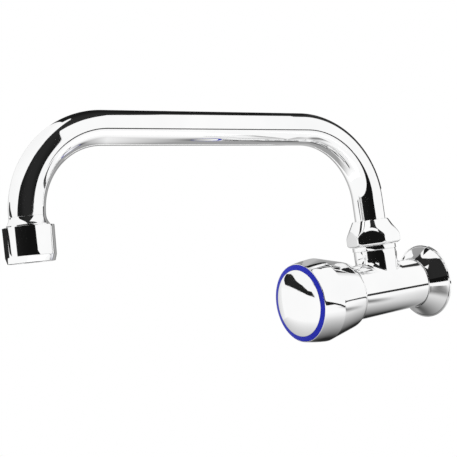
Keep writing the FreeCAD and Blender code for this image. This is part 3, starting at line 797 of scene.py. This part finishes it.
def noise(tree, place, scale):
    """Noise value over the given coordinates."""
    node = tree.nodes.new("ShaderNodeTexNoise")
    node.inputs["Scale"].default_value = scale
    node.inputs["Detail"].default_value = NOISE_DETAIL
    tree.links.new(place, node.inputs["Vector"])
    return node.outputs["Fac"]


def between(tree, value, low, high):
    """Spread a noise value over the range from low to high."""
    node = tree.nodes.new("ShaderNodeMapRange")
    node.inputs["From Min"].default_value = NOISE_LOW
    node.inputs["From Max"].default_value = NOISE_HIGH
    node.inputs["To Min"].default_value = low
    node.inputs["To Max"].default_value = high
    tree.links.new(value, node.inputs["Value"])
    return node.outputs["Result"]


def tinted(tree, value, first, second):
    """Colour that runs from first to second with a noise value."""
    node = tree.nodes.new("ShaderNodeMix")
    node.data_type = "RGBA"
    node.inputs["A"].default_value = (*first, 1)
    node.inputs["B"].default_value = (*second, 1)
    tree.links.new(between(tree, value, 0, 1), node.inputs["Factor"])
    return node.outputs["Result"]


def bumped(tree, value, shader, depth):
    """Relief in metres from a value between 0 and 1."""
    node = tree.nodes.new("ShaderNodeBump")
    node.inputs["Strength"].default_value = 1
    node.inputs["Distance"].default_value = depth
    tree.links.new(value, node.inputs["Height"])
    tree.links.new(node.outputs["Normal"], shader.inputs["Normal"])


def finish_material(name, metallic, colours, gloss, scales, relief, shine=PLAIN_SHINE):
    """Material with mottled colour, uneven gloss and a fine relief, all from noise in the piece.

    colours and gloss are ranges, scales are those of the noise in colour, gloss and relief,
    and relief is a depth in metres.
    """
    material, tree, shader, place = node_tree(name)
    shader.inputs["Metallic"].default_value = metallic
    shader.inputs["Specular IOR Level"].default_value = shine
    colour_scale, gloss_scale, relief_scale = scales
    tree.links.new(tinted(tree, noise(tree, place, colour_scale), *colours), shader.inputs["Base Color"])
    tree.links.new(between(tree, noise(tree, place, gloss_scale), *gloss), shader.inputs["Roughness"])
    bumped(tree, noise(tree, place, relief_scale), shader, relief)
    return material


def chrome_plate():
    """Polished chrome, almost a mirror."""
    return finish_material("chrome_plate", metallic=1.0,
                           colours=((0.93, 0.932, 0.935), (0.97, 0.97, 0.97)),
                           gloss=(0.02, 0.05), scales=(45, 160, 260), relief=4e-6)


def blue_index():
    """Blue enamel of the index ring."""
    return finish_material("blue_index", metallic=0.0,
                           colours=((0.011, 0.018, 0.42), (0.014, 0.024, 0.47)),
                           gloss=(0.26, 0.36), scales=(120, 400, 900), relief=6e-6, shine=0.15)


def turned_metal(name, colours, gloss):
    """Machined metal with fine uneven marks."""
    return finish_material(name, metallic=1.0, colours=colours, gloss=gloss,
                           scales=(90, 500, 1400), relief=8e-6)


def seal_rubber():
    """Dull black rubber of the seals."""
    return finish_material("seal_rubber", metallic=0.0,
                           colours=((0.012, 0.012, 0.013), (0.03, 0.03, 0.032)),
                           gloss=(0.45, 0.65), scales=(300, 700, 2500), relief=2e-5)


def moulded_plastic(name, colours):
    """Smooth moulded plastic."""
    return finish_material(name, metallic=0.0, colours=colours, gloss=(0.3, 0.42),
                           scales=(150, 500, 1800), relief=1e-5)


def fibre():
    """Red-brown pressed fibre of the gasket."""
    return finish_material("fibre", metallic=0.0, colours=((0.22, 0.05, 0.03), (0.34, 0.09, 0.05)),
                           gloss=(0.7, 0.9), scales=(400, 900, 3500), relief=4e-5)


MATERIALS = {
    "chrome_plate": chrome_plate(),
    "blue_index": blue_index(),
    "bare_brass": turned_metal("bare_brass", colours=((0.74, 0.52, 0.22), (0.83, 0.62, 0.3)),
                               gloss=(0.2, 0.34)),
    "steel": turned_metal("steel", colours=((0.5, 0.5, 0.5), (0.62, 0.61, 0.6)), gloss=(0.18, 0.32)),
    "seal_rubber": seal_rubber(),
    "white_plastic": moulded_plastic("white_plastic", ((0.78, 0.78, 0.76), (0.84, 0.84, 0.82))),
    "grey_plastic": moulded_plastic("grey_plastic", ((0.3, 0.31, 0.32), (0.36, 0.37, 0.38))),
    "fibre": fibre(),
}


def dress_frame():
    """Give every piece of the construction the material of its own slot."""
    for entry in frame["record"]["subparts"]:
        slots = frame["nodes"][entry["node"]].data.materials
        slots.clear()
        slots.append(MATERIALS[entry["material_slot"]])


# Pieces that stand for CAD nodes, as (name, its function, body, slot and material, node)
VISUAL = (
    ("tap_body_cast", tap_body_part, "valve_body", "chrome_plate", "tap_body"),
    ("wall_flange_bell", wall_flange_part, "valve_body", "chrome_plate", "wall_flange"),
    ("spout_nut_hex", nut_part, "valve_body", "chrome_plate", "spout_nut"),
    ("knob_shell_cast", knob_shell_part, "knob", "chrome_plate", "knob_shell"),
    ("index_ring_band", index_ring_part, "knob", "blue_index", "index_ring"),
    ("knob_cap_dome", knob_cap_part, "knob", "chrome_plate", "knob_cap"),
    ("spout_tube_bent", tube_part, "spout", "chrome_plate", "spout_tube"),
    ("outlet_tip_flare", outlet_tip_part, "spout", "chrome_plate", "outlet_tip"),
    ("aerator_housing_ring", aerator_housing_part, "spout", "chrome_plate", "aerator_housing"),
)


# Camera, light and studio


def add_camera():
    """Camera at the photograph's viewing angle."""
    data = bpy.data.cameras.new("camera")
    data.sensor_width = SENSOR
    data.lens = LENS
    camera = bpy.data.objects.new("camera", data)
    turn = (Matrix.Rotation(math.radians(CAMERA_AZIMUTH), 4, "Z")
            @ Matrix.Rotation(math.radians(90 - CAMERA_ELEVATION), 4, "X")
            @ Matrix.Rotation(math.radians(CAMERA_ROLL), 4, "Z"))
    camera.matrix_world = Matrix.Translation(Vector(CAMERA_PLACE) * MM) @ turn
    bpy.context.scene.collection.objects.link(camera)
    bpy.context.scene.camera = camera


def seen_directly(tree):
    """1 for rays from the camera, or in a reflection or through glass, and 0 for the rest."""
    path = tree.nodes.new("ShaderNodeLightPath")
    either = path.outputs["Is Camera Ray"]
    for ray in ("Is Glossy Ray", "Is Transmission Ray"):
        node = tree.nodes.new("ShaderNodeMath")
        node.operation = "MAXIMUM"
        tree.links.new(either, node.inputs[0])
        tree.links.new(path.outputs[ray], node.inputs[1])
        either = node.outputs[0]
    return either


def add_world():
    """White surroundings, dimmer where they light the object than where they are seen."""
    world = bpy.data.worlds.new("studio")
    world.use_nodes = True
    bpy.context.scene.world = world
    tree = world.node_tree
    strength = tree.nodes.new("ShaderNodeMapRange")
    strength.inputs["To Min"].default_value = WORLD_LIGHT
    strength.inputs["To Max"].default_value = 1.0
    tree.links.new(seen_directly(tree), strength.inputs["Value"])
    background = tree.nodes["Background"]
    background.inputs["Color"].default_value = (1, 1, 1, 1)
    tree.links.new(strength.outputs["Result"], background.inputs["Strength"])


def add_floor():
    """Pale floor that keeps the shadow."""
    size = FLOOR_HALF_WIDTH
    mesh = bpy.data.meshes.new("floor")
    corners = [(-size, -size), (size, -size), (size, size), (-size, size)]
    mesh.from_pydata([(x * MM, y * MM, FLOOR_HEIGHT * MM) for x, y in corners], [], [(0, 1, 2, 3)])
    floor = bpy.data.objects.new("floor", mesh)
    bpy.context.scene.collection.objects.link(floor)
    material, tree, shader, place = node_tree("floor_paint")
    tree.links.new(tinted(tree, noise(tree, place, FLOOR_MOTTLE), *FLOOR_PAINT),
                   shader.inputs["Base Color"])
    shader.inputs["Roughness"].default_value = FLOOR_ROUGHNESS
    shader.inputs["Emission Color"].default_value = (1, 1, 1, 1)
    glow = tree.nodes.new("ShaderNodeMath")
    glow.operation = "MULTIPLY"
    glow.inputs[1].default_value = FLOOR_GLOW
    tree.links.new(seen_directly(tree), glow.inputs[0])
    tree.links.new(glow.outputs[0], shader.inputs["Emission Strength"])
    mesh.materials.append(material)


def card_material():
    """Glow of each point's own brightness."""
    material = bpy.data.materials.new("card")
    material.use_nodes = True
    tree = material.node_tree
    tree.nodes.clear()
    output = tree.nodes.new("ShaderNodeOutputMaterial")
    shader = tree.nodes.new("ShaderNodeEmission")
    shade = tree.nodes.new("ShaderNodeAttribute")
    shade.attribute_name = "shade"
    tree.links.new(shade.outputs["Fac"], shader.inputs["Strength"])
    tree.links.new(shader.outputs["Emission"], output.inputs["Surface"])
    return material


CARD_MATERIAL = card_material()


def add_sheet(name, points, shades):
    """Studio card seen in the chrome only, from rows of points in millimetres and their brightness."""
    rows = np.arange(shades.size).reshape(shades.shape)
    mesh = bpy.data.meshes.new(name)
    mesh.from_pydata((points.reshape(-1, 3) * MM).tolist(), [], strips(list(rows), around=False))
    shade = mesh.attributes.new("shade", "FLOAT", "POINT")
    shade.data.foreach_set("value", shades.ravel())
    mesh.materials.append(CARD_MATERIAL)
    card = bpy.data.objects.new(name, mesh)
    bpy.context.scene.collection.objects.link(card)
    card.visible_camera = False
    card.visible_diffuse = False
    card.visible_shadow = False


def add_card(name, centre, distance, fade, stations):
    """Card bent round a centre, from (azimuth, low, high, brightness) stations with angles in degrees.

    Over a fade in degrees, its brightness falls from full at the lower edge to its own.
    """
    azimuth = np.arange(stations[0][0], stations[-1][0] + CARD_STEP / 2, CARD_STEP)
    columns = np.array(stations, float).T
    low, high, bright = (np.interp(azimuth, columns[0], column) for column in columns[1:])
    share = np.linspace(0, 1, CARD_ROWS)[:, None]
    height = low + (high - low) * share
    elevation = np.radians(height)
    turn = np.radians(azimuth)
    directions = np.stack([np.sin(turn) * np.cos(elevation), -np.cos(turn) * np.cos(elevation),
                           np.sin(elevation)], axis=-1)
    faded = np.clip(1 - (height - low) / fade, 0, 1) if fade else np.zeros(height.shape)
    add_sheet(name, directions * distance + np.array(centre), bright + (1 - bright) * faded)


def add_table():
    """Table top as a grid of points, each with its brightness, which holds painted shade and painted
    shadows.
    """
    x, y = np.meshgrid(np.arange(TABLE_X[0], TABLE_X[1] + 1, TABLE_STEP),
                       np.arange(TABLE_Y[0], TABLE_Y[1] + 1, TABLE_STEP), indexing="ij")
    open_side = np.maximum(np.interp(x, TABLE_OPEN_RIGHT, (0, 1)), np.interp(-y, TABLE_OPEN_FRONT, (0, 1)))
    shades = TABLE_BEHIND + (1 - TABLE_BEHIND) * open_side
    for start, end, core, reach, darkest in TABLE_SHADOWS:
        start = np.array(start, float)
        run = np.array(end, float) - start
        share = np.clip(((x - start[0]) * run[0] + (y - start[1]) * run[1]) / (run @ run), 0, 1)
        distance = np.hypot(x - start[0] - share * run[0], y - start[1] - share * run[1])
        shades = np.minimum(shades, darkest + np.maximum(distance - core, 0) / reach)
    add_sheet("near_table", np.stack([x, y, np.full(x.shape, TABLE_HEIGHT)], axis=-1), shades)


def add_board(name, edge, height, brightness):
    """Upright flat card over its lower edge."""
    low = np.array(edge, float)
    add_sheet(name, np.stack([low, low + [0, 0, height]]), np.tile(brightness, (2, 1)))


def add_level_card(name, ends, half_width, height, brightness):
    """Level card along a line from end to end."""
    ends = np.array(ends, float)
    along = (ends[1] - ends[0]) / np.linalg.norm(ends[1] - ends[0])
    side = np.array([-along[1], along[0]]) * half_width
    corners = np.stack([ends - side, ends + side])
    level = np.full((2, 2, 1), height)
    add_sheet(name, np.concatenate([corners, level], axis=2), np.full((2, 2), brightness))


def add_knob_card():
    """White card with a dark strip under its slanting lower edge."""
    edge = np.array(KNOB_CARD_ENDS)
    top = edge.copy()
    top[:, 2] = KNOB_CARD_TOP
    under = edge - [0, 0, KNOB_CARD_STRIP]
    add_sheet("knob_card", np.stack([edge, top]), np.ones((2, 2)))
    add_sheet("knob_card_strip", np.stack([under, edge]), np.full((2, 2), KNOB_CARD_DARK))


def add_key_lamp():
    """One large soft lamp, which reflections leave out."""
    data = bpy.data.lights.new("key", "AREA")
    data.shape = "DISK"
    data.size = KEY_SIZE * MM
    data.energy = KEY_POWER
    lamp = bpy.data.objects.new("key", data)
    place = Vector(KEY_PLACE) * MM
    aim = Vector(KEY_TARGET) * MM - place
    lamp.matrix_world = Matrix.Translation(place) @ aim.to_track_quat("-Z", "Y").to_matrix().to_4x4()
    lamp.visible_glossy = False
    bpy.context.scene.collection.objects.link(lamp)


# The scene itself

dress_frame()
for piece_name, build, body_name, slot_name, node_name in VISUAL:
    make_piece(piece_name, build(), body_name, slot_name, MATERIALS[slot_name], node_name)
add_camera()
add_world()
add_floor()
for card in CARDS:
    add_card(*card)
for board in BOARDS:
    add_board(*board)
for card in LEVEL_CARDS:
    add_level_card(*card)
add_table()
add_knob_card()
add_key_lamp()
bpy.context.scene.view_settings.view_transform = "Standard"
